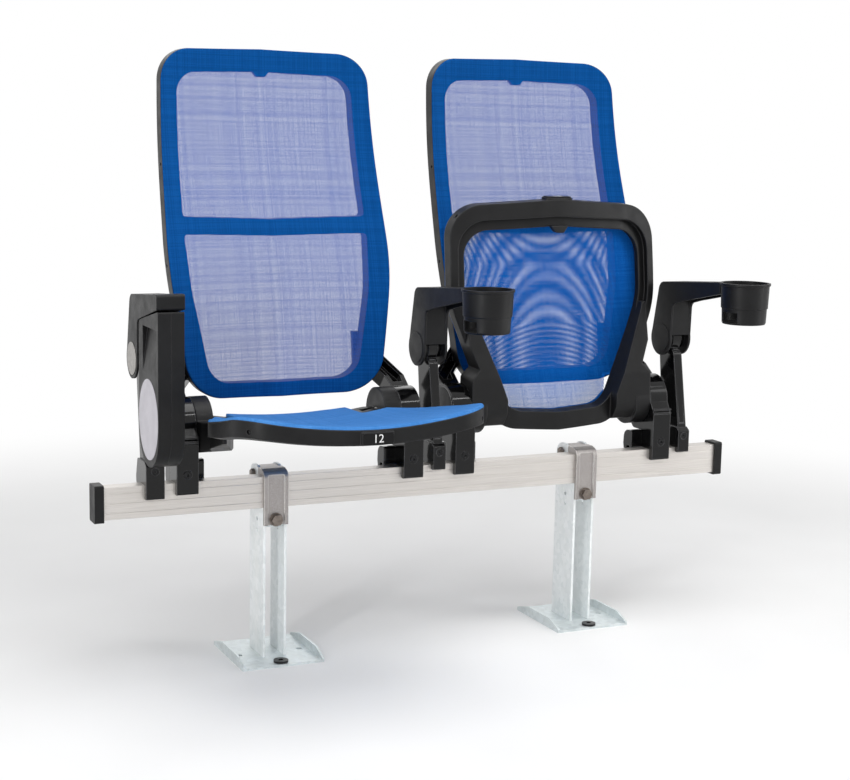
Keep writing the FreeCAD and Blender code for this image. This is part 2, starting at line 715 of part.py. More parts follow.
def armShape(front, deep):
    top0 = armTopHeight
    top1 = armTopAt(front)
    half = armWidth / 2
    body = prism(armProfile(front, top0, top1, deep), "x", -half, half)
    ends = rodX(-half, half, armPivotY, armPivotZ, 34)
    inner = [(90, 480, 0), (46, top0 - armWall, 14), (front + armWall, top1 - armWall, 3),
             (front + armWall, 480, 0)]
    bulkhead = box(-half, half, armBulkhead, armBulkhead + armWall, armPivotZ + 8, 700)
    hollow = prism(inner, "x", -half + armWall, half - armWall).cut(bulkhead)
    shell = fuse([body, ends]).cut(hollow)
    ribs = []
    for y in (-60, -105):
        rib = box(-half + 1, half - 1, y - 1.5, y + 1.5, 600, 700).common(body)
        if y > front + 20:
            ribs.append(rib.common(box(-half, half, y - 5, y + 5, top0 - 4, 700)))
    recess = [rodX(-half - 1, -half + 2, armPivotY, armPivotZ, armCapRadius + 0.2),
              rodX(half - 2, half + 1, armPivotY, armPivotZ, armCapRadius + 0.2)]
    bore = rodX(-40, 40, armPivotY, armPivotZ, armPin / 2 + fit)
    return fuse([shell] + ribs).cut(recess + [bore])


def armCaps():
    half = armWidth / 2
    caps = []
    for s in (-1, 1):
        a, b = sorted((s * (half - 2), s * (half + 0.8)))
        caps.append(rodX(a, b, armPivotY, armPivotZ, armCapRadius))
    return Part.makeCompound(caps)


def armPinShape():
    half = armWidth / 2
    return rodX(-half + 2.2, half - 2.2, armPivotY, armPivotZ, armPin / 2 - fit)


# Cup with a rolled rim, a step and two drain windows low in its wall
def cupShape(front):
    def ring(points):
        wire = Part.makePolygon([V(r, 0, z) for r, z in points] + [V(points[0][0], 0, points[0][1])])
        body = Part.Face(wire).revolve(V(0, 0, 0), V(0, 0, 1), 360)
        return body

    low = cupRim - cupHeight
    step = cupRim - 46
    outer = ring([(0, low), (38, low), (39.5, low + 3), (40.5, step), (42, step + 1), (43.5, cupRim - 5),
                  (cupRadius, cupRim - 4), (cupRadius, cupRim), (0, cupRim)])
    inner = ring([(0, low + 3), (36.5, low + 3), (38, step), (39.5, step + 1), (41.5, cupRim + 1), (0, cupRim + 1)])
    outer.translate(V(0, cupY, 0))
    inner.translate(V(0, cupY, 0))
    lug = box(-20, 20, cupY + 40, front, cupRim - 26, cupRim - 6)
    cup = fuse([outer, lug.cut(inner)]).cut(inner)
    windows = [box(-60, -20, cupY - 24, cupY + 10, low + 3, low + 22),
               box(20, 60, cupY - 24, cupY + 10, low + 3, low + 22)]
    return cup.cut(windows)


def makeArm(name, centre, front, deep, foot, hook):
    keep("arm_upright_" + name, atSeat(uprightShape(foot, hook), 1, centre))
    keep("arm_shell_" + name, atSeat(armShape(front, deep), 1, centre))
    keep("arm_caps_" + name, atSeat(armCaps(), 1, centre))


# Oval disc on the end panel's outer face
def disc(x0, x1, y, margin):
    oval = Part.Ellipse(V(0, 0, 0), badgeHeight + margin, badgeDepth + margin).toShape()
    face = Part.Face(Part.Wire([oval])).extrude(V(0, 0, x1 - x0))
    face.rotate(V(0, 0, 0), V(0, 1, 0), 90)
    face.translate(V(x0, y, badgeLevel))
    return face


def makePanel(centre):
    half = armWidth / 2 - 1
    radius = (panelRear - panelFront) / 2
    mid = (panelRear + panelFront) / 2
    base = panelBottom + radius

    def body(inset, x0, x1):
        side = [(panelRear - inset, base, 0), (panelRear - inset, 606.5 - inset, 8), (-33, 613 - inset, 30),
                (panelFront + inset, 631.8 - inset, 3), (panelFront + inset, base, 0)]
        low = rodX(x0, x1, mid, base, radius - inset)
        return fuse([prism(side, "x", x0, x1), low])

    scoop = [(-30, 601, 0), (-half + 9, 601, 0), (-half, 526, 0), (-30, 526, 0)]
    backing = [(-30, 604, 0), (-half + 12, 604, 0), (-half + 2.5, 520, 0), (-30, 520, 0)]
    bosses = [(-40.0, 420.0), (-40.0, 540.0)]
    for name, x0, x1 in (("outer", -half, -0.2), ("inner", 0.2, half)):
        hollow = body(panelWall, max(x0, -half + panelWall), min(x1, half - panelWall))
        if name == "outer":
            hollow = hollow.cut(prism(backing, "y", panelFront + 5, -28))
        shell = body(0, x0, x1).cut(hollow)
        posts = [rodX(max(x0, 3.0) if x0 > 0 else x0, x1 if x0 > 0 else -3.0, y, z, 8) for y, z in bosses]
        shell = fuse([shell] + posts)
        cuts = [box(-3.2, 3.2, -60, 0, z - 16, z + 16).common(box(-4, 4, panelRear - 18, 0, 300, 700))
                for y, z in bosses]
        cuts += [rodX(-15, 15, y, z, 2.5) for y, z in bosses]
        if name == "outer":
            cuts.append(prism(scoop, "y", panelFront + 9, -32))
            cuts.append(disc(-half - 1, -half + 1, mid, 0.2))
        shell = shell.cut(cuts)
        keep("end_panel_" + name, atSeat(shell, 1, centre))
    keep("panel_badge", atSeat(disc(-half - 0.6, -half + 1, mid, 0.0), 1, centre))
    return bosses


def makeFrontCap(centre, front, top):
    half = armWidth / 2 + 0.6
    outer = prism([(front - 3, top - 25, 4), (front - 3, top + 0.8, 5), (front + 16, top + 0.2, 0),
                   (front + 16, top - 25, 0)], "x", -half, half)
    return atSeat(outer, 1, centre)


def addPanelTabs(bosses, centre):
    tabs = []
    for y, z in bosses:
        tab = box(-3, 3, y - 10, -2, z - 12, z + 12)
        tabs.append(tab.cut(rodX(-5, 5, y, z, 2.5 + bolted)))
    upright = nodes["arm_upright_left"]
    keep("arm_upright_left", fuse([upright] + [atSeat(t, 1, centre) for t in tabs]))


def makeArmFasteners(arms, bosses):
    screws = []
    for centre, foot in arms:
        head = rodY(-24, -19, 0, beamTop + 24, 6.0)
        shank = rodY(-19, 46, 0, beamTop + 24, 3.5)
        socket = rodY(-25, -22, 0, beamTop + 24, 2.5)
        screws.append(atSeat(fuse([head, shank]).cut(socket), 1, centre))
    for y, z in bosses:
        screws.append(atSeat(rodX(-14, 14, y, z, 2.5 - fit), 1, arms[0][0]))
    keep("arm_screws", Part.makeCompound(screws))
    keep("arm_pins", Part.makeCompound([atSeat(armPinShape(), 1, c) for c, f in arms]))


def build():
    makeBeam()
    makeBeamCap("beam_cap_left", -1)
    makeBeamCap("beam_cap_right", 1)
    stands = [pairShift - standSpread, pairShift + standSpread]
    for name, x in zip(("left", "right"), stands):
        makeFloorPlate("floor_plate_" + name, x)
        makePost("post_" + name + "_a", x, -1)
        makePost("post_" + name + "_b", x, 1)
        makeClampNut("clamp_nut_" + name, x)
        makeSaddle("saddle_" + name, x)
    makeSaddleBolts(stands)
    makeSaddlePins(stands)
    makeFloorBolts(stands)
    seats = [pairShift - pitch / 2, pairShift + pitch / 2]
    makeSeat("left", seats[0], False)
    makeSeat("right", seats[1], True)
    makeSeatFasteners(seats)
    arms = [(pairShift - pitch - endArmOut, 32.0), (pairShift, 24.0), (pairShift + pitch, 24.0)]
    cupBack = cupY + cupRadius + skin
    makeArm("left", arms[0][0], endArmFront, 24.0, 32.0, 24.0)
    makeArm("mid", arms[1][0], cupBack, 22.0, 24.0, 8.0)
    makeArm("right", arms[2][0], cupBack, 22.0, 24.0, 8.0)
    for name, centre in (("mid", arms[1][0]), ("right", arms[2][0])):
        keep("cup_" + name, atSeat(cupShape(cupBack), 1, centre))
    bosses = makePanel(arms[0][0])
    addPanelTabs(bosses, arms[0][0])
    cap = makeFrontCap(arms[0][0], endArmFront, armTopAt(endArmFront))
    keep("arm_front_cap", cap.cut(nodes["arm_shell_left"]))
    makeArmFasteners(arms, bosses)


# The whole stands centred front to back over the frame's origin
def centreAndWrite():
    low = min(s.BoundBox.YMin for s in nodes.values())
    high = max(s.BoundBox.YMax for s in nodes.values())
    shift = -(low + high) / 2
    os.makedirs("parts", exist_ok=True)
    for name, shape in nodes.items():
        shape.translate(V(0, shift, 0))
        shape.exportStep("parts/" + name + ".step")
    print("front to back shift", round(shift, 4), "nodes", len(nodes))


build()
centreAndWrite()
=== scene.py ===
import bpy, bmesh
import json
import math
import numpy as np
from mathutils import Matrix, Vector
from mathutils.bvhtree import BVHTree


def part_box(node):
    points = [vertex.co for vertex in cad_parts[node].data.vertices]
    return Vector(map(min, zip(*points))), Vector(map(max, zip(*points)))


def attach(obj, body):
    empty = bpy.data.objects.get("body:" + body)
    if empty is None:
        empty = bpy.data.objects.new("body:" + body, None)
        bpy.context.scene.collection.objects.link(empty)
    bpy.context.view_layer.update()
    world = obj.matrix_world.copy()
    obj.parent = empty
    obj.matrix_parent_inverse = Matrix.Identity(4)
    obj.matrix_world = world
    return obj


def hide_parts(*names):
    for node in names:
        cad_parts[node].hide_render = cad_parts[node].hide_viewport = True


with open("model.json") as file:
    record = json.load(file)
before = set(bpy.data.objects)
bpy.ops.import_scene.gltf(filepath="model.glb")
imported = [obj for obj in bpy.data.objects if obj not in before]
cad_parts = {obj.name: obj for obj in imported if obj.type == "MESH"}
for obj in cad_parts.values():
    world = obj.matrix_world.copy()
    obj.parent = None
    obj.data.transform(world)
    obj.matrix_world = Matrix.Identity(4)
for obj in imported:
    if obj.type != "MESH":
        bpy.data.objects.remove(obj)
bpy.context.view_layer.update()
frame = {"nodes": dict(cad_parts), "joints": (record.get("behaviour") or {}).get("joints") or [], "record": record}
nodes = frame["nodes"]
joints = {joint["name"]: joint for joint in frame["joints"]}
slotOf = {row["node"]: row["material_slot"] for row in frame["record"]["subparts"]}
millimetre = 0.001
print("frame loaded:", len(nodes), "nodes")


# Camera, solved from the edges of the beam and the stands in an 850 x 780 picture
cameraSetup = {
    "place": (-1.252624, -2.637300, 0.925478),
    "yaw": 24.69718,         # degrees from +Y toward +X
    "pitch": 8.86275,        # degrees downward
    "roll": 1.11659,
    "lens": 70.557,
    "nearest": 0.05,
    "farthest": 50.0,
}


def inScene(name, data):
    piece = bpy.data.objects.new(name, data)
    bpy.context.scene.collection.objects.link(piece)
    return piece


def makeCamera(setup):
    camera = inScene("camera", bpy.data.cameras.new("camera"))
    camera.data.lens = setup["lens"]
    camera.data.clip_start = setup["nearest"]
    camera.data.clip_end = setup["farthest"]
    turn = (Matrix.Rotation(-math.radians(setup["yaw"]), 4, "Z")
            @ Matrix.Rotation(math.radians(90 - setup["pitch"]), 4, "X")
            @ Matrix.Rotation(math.radians(setup["roll"]), 4, "Z"))
    camera.matrix_world = Matrix.Translation(setup["place"]) @ turn
    bpy.context.scene.camera = camera


makeCamera(cameraSetup)
print("camera placed")


# sRGB hex code to a linear colour
def linear(code):
    channels = [int(code[i:i + 2], 16) / 255 for i in (1, 3, 5)]
    curve = [c / 12.92 if c <= 0.04045 else ((c + 0.055) / 1.055) ** 2.4 for c in channels]
    return (*curve, 1.0)


# Adds a node with its sockets and settings, and gives one of its outputs
def add(tree, kind, sockets=None, out=0, **settings):
    node = tree.nodes.new(kind)
    for name, value in settings.items():
        setattr(node, name, value)
    for name, value in (sockets or {}).items():
        if isinstance(value, bpy.types.NodeSocket):
            tree.links.new(value, node.inputs[name])
        else:
            node.inputs[name].default_value = value
    return node.outputs[out] if node.outputs else None


def newMaterial(name):
    material = bpy.data.materials.new(name)
    material.use_nodes = True
    material.node_tree.nodes.clear()
    return material


# Finishes of the rigid pieces. A texture is (size in mm, detail, roughness), with the stretch of its
# coordinates where it runs one way. A layer is (texture, low, high, share, colour) and lies over those
# before it. "round" is the radius in mm over which an edge catches the light, and "edge" how much it
# pales there and to what colour: a painted highlight on the nylon, the castings and the powder coat, and
# wear on the turned steel.
nylon = {       # glass-filled nylon, moulded: satin black with fine spark grain, and a painted highlight along its edges
    "textures": {"cloud": (60, 4, 0.55), "speck": (0.9, 2, 0.55), "patch": (25, 3, 0.55)},
    "base": "#0D0D0E",
    "layers": [("cloud", 0.35, 0.7, 1.0, "#171718"), ("speck", 0.45, 0.75, 0.2, "#242425")],
    "round": 1.6,
    "edge": (0.35, "#565658"),
    "rough": ("patch", 0.3, 0.7, 0.36, 0.50),
    "relief": ("speck", 0.08),
    "shader": {"Specular IOR Level": 0.22},
}
plate = {       # the same nylon, polished in its mould: darker and smoother, with the same painted edge highlight
    **nylon,
    "base": "#060607",
    "layers": [("cloud", 0.35, 0.7, 1.0, "#0B0B0C"), ("speck", 0.45, 0.75, 0.2, "#242425")],
    "round": 1.0,
    "rough": ("patch", 0.3, 0.7, 0.28, 0.36),
    "shader": {"Specular IOR Level": 0.2},
}
extrusion = {   # aluminium, extruded and anodised: a warm silver with die lines along it
    "textures": {"lines": (0.9, 4, 0.7, 0.01, 1, 1), "broad": (30, 3, 0.55, 0.2, 1, 1)},
    "base": "#C2BDB9",
    "layers": [("lines", 0.3, 0.7, 1.0, "#DAD6D1"), ("broad", 0.35, 0.7, 0.3, "#CDC8C2")],
    "round": 0.6,
    "rough": ("lines", 0.3, 0.7, 0.34, 0.46),
    "relief": ("lines", 0.02),
    "shader": {"Metallic": 0.8},
}
zinc = {        # steel, hot dip galvanised: pale zinc with dull crystal spangle
    "textures": {"spangle": (9, 0, 0), "cloud": (26, 5, 0.55), "grain": (2.4, 4, 0.55)},
    "base": "#C6CED0",
    "layers": [("spangle", 0, 1, 1.0, "#DDE4E6"), ("cloud", 0.35, 0.7, 0.5, "#D0D6D5")],
    "round": 0.5,
    "rough": ("spangle", 0, 1, 0.38, 0.56),
    "relief": ("grain", 0.06),
    "shader": {"Metallic": 0.6},
}
uprightZincPaintedLight = {    # the same coat on the rolled uprights, painted whiter to stand in for light their faces lack, and less metallic
    **zinc,
    "base": "#E4E9EA",
    "layers": [("spangle", 0, 1, 1.0, "#F4F7F8"), ("cloud", 0.35, 0.7, 0.5, "#ECEFEE")],
    "shader": {"Metallic": 0.35},
}
casting = {     # aluminium, sand cast and tumbled: dull grey with pores, and a painted white highlight along its edges
    "textures": {"grain": (1.6, 5, 0.65), "cloud": (18, 3, 0.55)},
    "base": "#8C8785",
    "layers": [("grain", 0.3, 0.7, 1.0, "#B4AFAC"), ("cloud", 0.4, 0.7, 0.4, "#9A9593")],
    "round": 2.0,
    "edge": (1.0, "#F0EEEB"),
    "rough": ("grain", 0.3, 0.7, 0.32, 0.5),
    "relief": ("grain", 0.18),
    "shader": {"Metallic": 0.8},
}
powder = {      # cast iron, powder coated: deep gloss black with orange peel, crisp white reflections, and a painted pale highlight along its edges
    "textures": {"peel": (3.2, 2, 0.55), "cloud": (40, 3, 0.55)},
    "base": "#040405",
    "layers": [("cloud", 0.35, 0.7, 1.0, "#0A0A0B")],
    "round": 3.0,
    "edge": (0.8, "#6A6A6C"),
    "rough": ("cloud", 0.3, 0.7, 0.08, 0.15),
    "relief": ("peel", 0.05),
    "shader": {"IOR": 1.5, "Specular IOR Level": 0.2, "Coat Weight": 0.25, "Coat Roughness": 0.05},
}


# Steel, turned and then plated, blackened or ground: a fine finish with worn edges
def turnedSteel(dark, pale, worn, metallic, rough):
    return {
        "textures": {"grain": (1.2, 4, 0.55), "cloud": (6, 3, 0.55)},
        "base": dark,
        "layers": [("cloud", 0.35, 0.7, 1.0, pale)],
        "round": 0.5,
        "edge": (0.7, worn),
        "rough": ("grain", 0.3, 0.7, rough - 0.06, rough + 0.08),
        "relief": ("grain", 0.03),
        "shader": {"Metallic": metallic},
    }


# Acetal, vinyl or ink: an even pale skin with a trace of cloud
def plainSkin(dark, pale, rough):
    return {
        "textures": {"cloud": (30, 4, 0.55), "grain": (1.1, 2, 0.55)},
        "base": dark,
        "layers": [("cloud", 0.35, 0.7, 1.0, pale)],
        "round": 0.4,
        "rough": ("grain", 0.3, 0.7, rough - 0.05, rough + 0.05),
        "relief": ("grain", 0.02),
        "shader": {"IOR": 1.48},
    }


def makeFinish(name, recipe):
    material = newMaterial(name)
    tree = material.node_tree
    place = add(tree, "ShaderNodeTexCoord", out="Object")
    textures = {}
    for texture, (size, detail, roughness, *stretch) in recipe["textures"].items():
        scale = [s / millimetre for s in stretch or (1, 1, 1)]
        scaled = add(tree, "ShaderNodeMapping", {"Vector": place, "Scale": scale})
        if texture == "spangle":
            crystal = add(tree, "ShaderNodeTexVoronoi", {"Vector": scaled, "Scale": 1 / size}, out="Color")
            textures[texture] = add(tree, "ShaderNodeSeparateColor", {"Color": crystal})
        else:
            textures[texture] = add(tree, "ShaderNodeTexNoise", {
                "Vector": scaled, "Scale": 1 / size, "Detail": detail, "Roughness": roughness})
    colour = linear(recipe["base"])
    for texture, low, high, share, over in recipe["layers"]:
        part = add(tree, "ShaderNodeMapRange", {
            "Value": textures[texture], "From Min": low, "From Max": high, "To Max": share})
        colour = add(tree, "ShaderNodeMix", {0: part, 6: colour, 7: linear(over)}, out=2, data_type="RGBA")
    rounded = add(tree, "ShaderNodeBevel", {"Radius": recipe["round"] * millimetre}, samples=6)
    # Where the rounded normal leans off the face, the colour pales towards the edge colour: a painted highlight
    # for nylon, castings and powder coat, and wear for turned steel
    if "edge" in recipe:
        share, pale = recipe["edge"]
        flat = add(tree, "ShaderNodeNewGeometry", out="True Normal")
        along = add(tree, "ShaderNodeVectorMath", {0: rounded, 1: flat}, out="Value", operation="DOT_PRODUCT")
        part = add(tree, "ShaderNodeMapRange", {
            "Value": along, "From Min": 0.97, "From Max": 0.75, "To Max": share})
        colour = add(tree, "ShaderNodeMix", {0: part, 6: colour, 7: linear(pale)}, out=2, data_type="RGBA")
    texture, low, high, smoothest, roughest = recipe["rough"]
    rough = add(tree, "ShaderNodeMapRange", {
        "Value": textures[texture], "From Min": low, "From Max": high,
        "To Min": smoothest, "To Max": roughest})
    texture, depth = recipe["relief"]
    normal = add(tree, "ShaderNodeBump", {
        "Height": textures[texture], "Distance": depth * millimetre, "Strength": 1.0, "Normal": rounded})
    shader = add(tree, "ShaderNodeBsdfPrincipled", {
        "Base Color": colour, "Roughness": rough, "Normal": normal, **recipe["shader"]})
    add(tree, "ShaderNodeOutputMaterial", {"Surface": shader})
    return material


# Polyester mesh, warp knitted and stretched: opaque over the frame, sheer across its windows
clothLook = {
    "pitch": 1.55,           # mm, a little coarser than the real 1 mm, so that it shows
    "cover": 0.47,           # a thread's share of its pitch
    "uneven": 0.10,          # how much that share changes from thread to thread
    "thread": "#054D91",
    "deep": "#03407F",
    "bright": "#1460AD",
    "bloom": "#6FA5EE",
    "lit": "#455BAE",        # threads with light coming through from behind
    "through": 0.55,         # how much of that a sheer thread shows
    "softWindow": 0.0004,    # m over which the cloth turns sheer at a window's edge
    "slub": 1.3,             # threads from one thick place to the next, across them
    "slubRun": 0.04,         # and how much slower they change along them
    "relief": 0.25,          # mm
}
# Lighter copies of the same cloth for the pads: painted sheen on the lowered pad, whose top is seen at a grazing
# angle, and painted front light on the folded one
padLookPaintedSheen = {**clothLook, "cover": 0.86, "thread": "#4683C8", "deep": "#3976BA", "bright": "#6099DA",
           "through": 0.0}
foldedLookPaintedLight = {**clothLook, "thread": "#0A62BE", "deep": "#0654A8", "bright": "#1C72CC", "through": 0.0}


def knittedMesh(name, look):
    material = newMaterial(name)
    tree = material.node_tree
    lengths = add(tree, "ShaderNodeUVMap", uv_map="threads")
    counted = add(tree, "ShaderNodeVectorMath", {0: lengths, "Scale": 1 / (look["pitch"] * millimetre)},
                  operation="SCALE")
    split = add(tree, "ShaderNodeSeparateXYZ", {0: counted}).node
    threads, tones, slubs = [], [], []
    thinnest = (look["cover"] - look["uneven"]) / 2
    thickest = (look["cover"] + look["uneven"]) / 2
    for axis, run in enumerate(((look["slubRun"], 1, 1), (1, look["slubRun"], 1))):
        along = split.outputs[axis]
        phase = add(tree, "ShaderNodeMath", {0: along}, operation="FRACT")
        offset = add(tree, "ShaderNodeMath", {0: phase, 1: 0.5}, operation="SUBTRACT")
        ridge = add(tree, "ShaderNodeMath", {0: offset}, operation="ABSOLUTE")
        line = add(tree, "ShaderNodeMath", {0: along}, operation="FLOOR")
        seeded = add(tree, "ShaderNodeMath", {0: line, 1: 37.0 * axis}, operation="ADD")
        tones.append(add(tree, "ShaderNodeTexWhiteNoise", {"W": seeded}, noise_dimensions="1D"))
        width = add(tree, "ShaderNodeMapRange", {
            "Value": tones[axis], "To Min": thinnest, "To Max": thickest})
        threads.append(add(tree, "ShaderNodeMath", {0: ridge, 1: width}, operation="LESS_THAN"))
        drawn = add(tree, "ShaderNodeVectorMath", {0: counted, 1: run}, operation="MULTIPLY")
        slubs.append(add(tree, "ShaderNodeTexNoise", {
            "Vector": drawn, "Scale": 1 / look["slub"], "Detail": 2.0, "Roughness": 0.55}))
    woven = add(tree, "ShaderNodeMath", {0: threads[0], 1: threads[1]}, operation="MAXIMUM")
    slubSum = add(tree, "ShaderNodeMath", {0: slubs[0], 1: slubs[1]}, operation="ADD")
    toneSum = add(tree, "ShaderNodeMath", {0: tones[0], 1: tones[1]}, operation="ADD")
    hole = add(tree, "ShaderNodeAttribute", out="Fac", attribute_name="windowDistance")
    soft = look["softWindow"]
    sheer = add(tree, "ShaderNodeMapRange", {"Value": hole, "From Min": -soft, "From Max": soft})

    colour = linear(look["deep"])
    layers = [(slubSum, 0.5, 1.5, 1.0, "thread"), (toneSum, 0.6, 1.8, 0.4, "bright"),
              (sheer, 0.0, 1.0, look["through"], "lit")]
    for value, low, high, share, over in layers:
        part = add(tree, "ShaderNodeMapRange", {
            "Value": value, "From Min": low, "From Max": high, "To Max": share})
        colour = add(tree, "ShaderNodeMix", {0: part, 6: colour, 7: linear(look[over])}, out=2,
                     data_type="RGBA")
    height = add(tree, "ShaderNodeMath", {0: slubSum, 1: 0.3, 2: woven}, operation="MULTIPLY_ADD")
    flat = add(tree, "ShaderNodeNewGeometry", out="Normal")
    normal = add(tree, "ShaderNodeBump", {
        "Height": height, "Distance": look["relief"] * millimetre, "Strength": 1.0, "Normal": flat})
    shader = add(tree, "ShaderNodeBsdfPrincipled", {
        "Base Color": colour, "Roughness": 0.8, "Normal": normal, "Specular IOR Level": 0.05,
        "Sheen Weight": 0.06, "Sheen Roughness": 0.35, "Sheen Tint": linear(look["bloom"])})
    clear = add(tree, "ShaderNodeBsdfTransparent")
    gap = add(tree, "ShaderNodeMath", {0: 1.0, 1: woven}, operation="SUBTRACT")
    openShare = add(tree, "ShaderNodeMath", {0: sheer, 1: gap}, operation="MULTIPLY")
    both = add(tree, "ShaderNodeMixShader", {0: openShare, 1: shader, 2: clear})
    add(tree, "ShaderNodeOutputMaterial", {"Surface": both})
    return material


finishes = {
    "beam_extrusion": makeFinish("anodised_extrusion", extrusion),
    "black_plastic": makeFinish("moulded_nylon", nylon),
    "galvanised_steel": makeFinish("hot_dip_galvanised_steel", zinc),
    "cast_aluminium": makeFinish("tumbled_cast_aluminium", casting),
    "plated_bolt": makeFinish("zinc_plated_steel", turnedSteel("#6E655E", "#8A817A", "#B7AFA7", 0.9, 0.36)),
    "black_screw": makeFinish("black_oxide_steel", turnedSteel("#121213", "#1F1F21", "#58585B", 0.5, 0.34)),
    "black_casting": makeFinish("gloss_powder_coat", powder),
    "bare_metal_cap": makeFinish("brushed_steel_cap",
                                 turnedSteel("#8B8884", "#A7A4A0", "#C9C7C4", 0.95, 0.32)),
    "blue_mesh": knittedMesh("knitted_mesh_back", clothLook),
    "number_plate": makeFinish("moulded_plate", plate),
    "pin_steel": makeFinish("ground_steel", turnedSteel("#8E8E90", "#B2B2B4", "#D0D0D2", 0.95, 0.22)),
    "bush_plastic": makeFinish("moulded_acetal", plainSkin("#D2CEC4", "#DEDACF", 0.4)),
    "white_badge": makeFinish("white_vinyl", plainSkin("#B7B4BC", "#C3C0C8", 0.35)),
}

# Nodes whose names start like this differ from their slot: fuller edges, by their radius in mm, which also widens
# the painted edge highlight
fullerEdges = {"pan_frame": 4.0, "back_frame": 3.0, "arm_shell": 2.6, "hub_caps": 2.6, "arm_front_cap": 2.6}
ownFinish = {start: makeFinish("moulded_nylon_" + start, {**nylon, "round": radius})
             for start, radius in fullerEdges.items()}
# The uprights take the zinc painted whiter, standing in for light their faces lack
ownFinish["post_"] = makeFinish("galvanised_upright_steel_painted_light", uprightZincPaintedLight)
for name, shape in nodes.items():
    own = [finish for start, finish in ownFinish.items() if name.startswith(start)]
    shape.data.materials.clear()
    shape.data.materials.append(own[0] if own else finishes[slotOf[name]])
print("finishes made:", len(finishes) + len(ownFinish))


# Cloths. Outlines are (x, height or reach, corner radius) in mm, from the middle of the top to that of the
# bottom, and the other half mirrors them
backCloth = {
    "outline": [(0, 1064, 0), (193, 1059, 58), (208, 680, 600), (177, 455, 76), (0, 450, 0)],
    "windows": [[(0, 1024, 0), (164, 1019, 40), (171, 768, 7), (0, 762, 0)],
                [(0, 733, 0), (172, 738, 6), (166, 640, 200), (137, 480, 46), (0, 476, 0)]],
    "tab": [(-17, 1026), (-8, 1015), (8, 1015), (17, 1026)],     # closed tongue into the upper window
    "fine": [(-22, 23), (1010, 1032)],                           # where the cuts are 2 mm apart round it
    "roll": 2.4,                                                 # radius of the hem
    "step": 6.0,                                                 # cuts elsewhere
    "flat": (0.416, 0.64),                                       # m, before it was stretched
    "area": 0.245,
}
panCloth = {
    "outline": [(0, 383, 0), (214, 368, 66), (216, 190, 160), (161, 47.6, 5), (114.8, 47.6, 3),
                (114.8, -34, 0), (70, -42.5, 60), (0, -44, 0)],
    "windows": [[(0, 333, 0), (185, 322, 50), (186, 196, 130), (106, -4, 46), (0, -10, 0)]],
    "tab": [],
    "fine": [],
    "roll": 5.6,
    "step": 8.0,
    "flat": (0.432, 0.43),
    "area": 0.165,
}
hemRings = (0.15, 0.2, 0.25, 0.4)      # shares of the roll, so that the hem's curve is finest at its edge
closest = 0.01                         # mm at which points are one


# A flat face with both its halves, its corners rounded by a vertex bevel
def flatOutline(corners):
    flat = bmesh.new()
    both = list(corners) + [(-x, v, r) for x, v, r in reversed(corners) if x > 0]
    made = [flat.verts.new((x, v, 0)) for x, v, r in both]
    flat.faces.new(made)
    count = len(both)
    for index, (x, v, radius) in enumerate(both):
        if radius > 0:
            here = Vector((x, v))
            ways = [(Vector(both[(index + s) % count][:2]) - here).normalized() for s in (-1, 1)]
            half = ways[0].angle(ways[1]) / 2
            bmesh.ops.bevel(flat, geom=[made[index]], affect="VERTICES", offset=radius / math.tan(half),
                            offset_type="OFFSET", segments=10, profile=0.5, material=-1, clamp_overlap=False)
    return flat


def ringOf(flat):
    flat.faces.ensure_lookup_table()
    return np.array([v.co[:2] for v in flat.faces[0].verts])


# Distance of points to a closed ring, more than 0 inside it
def distanceInside(points, ring):
    near = np.full(len(points), 1e9)
    inside = np.zeros(len(points), bool)
    for a, b in zip(ring, np.roll(ring, -1, axis=0)):
        way = b - a
        length = max(way @ way, 1e-12)
        share = np.clip(((points - a) @ way) / length, 0, 1)
        near = np.minimum(near, np.linalg.norm(points - a - share[:, None] * way, axis=1))
        crosses = (a[1] > points[:, 1]) != (b[1] > points[:, 1])
        if abs(way[1]) > 1e-12:
            inside ^= crosses & (points[:, 0] < a[0] + (points[:, 1] - a[1]) / way[1] * way[0])
    return np.where(inside, near, -near)


# The cloth as it is cut: rings along its hem, then a fine grid that lets it bend
def cutCloth(plan):
    flat = flatOutline(plan["outline"])
    hem = ringOf(flat)
    middle = flat.faces[0]
    for share in hemRings:
        bmesh.ops.inset_region(flat, faces=[middle], thickness=share * plan["roll"], use_even_offset=True,
                               use_boundary=True)
    low, high = hem.min(0), hem.max(0)
    for axis, way in enumerate((Vector((1, 0, 0)), Vector((0, 1, 0)))):
        cuts = list(np.arange(low[axis] + plan["step"] / 2, high[axis], plan["step"]))
        if plan["fine"]:
            cuts += list(np.arange(*plan["fine"][axis], 2.0))
        for at in cuts:
            everything = flat.verts[:] + flat.edges[:] + flat.faces[:]
            bmesh.ops.bisect_plane(flat, geom=everything, dist=closest, plane_co=way * float(at),
                                   plane_no=way)
    bmesh.ops.remove_doubles(flat, verts=flat.verts[:], dist=closest)
    return flat, hem


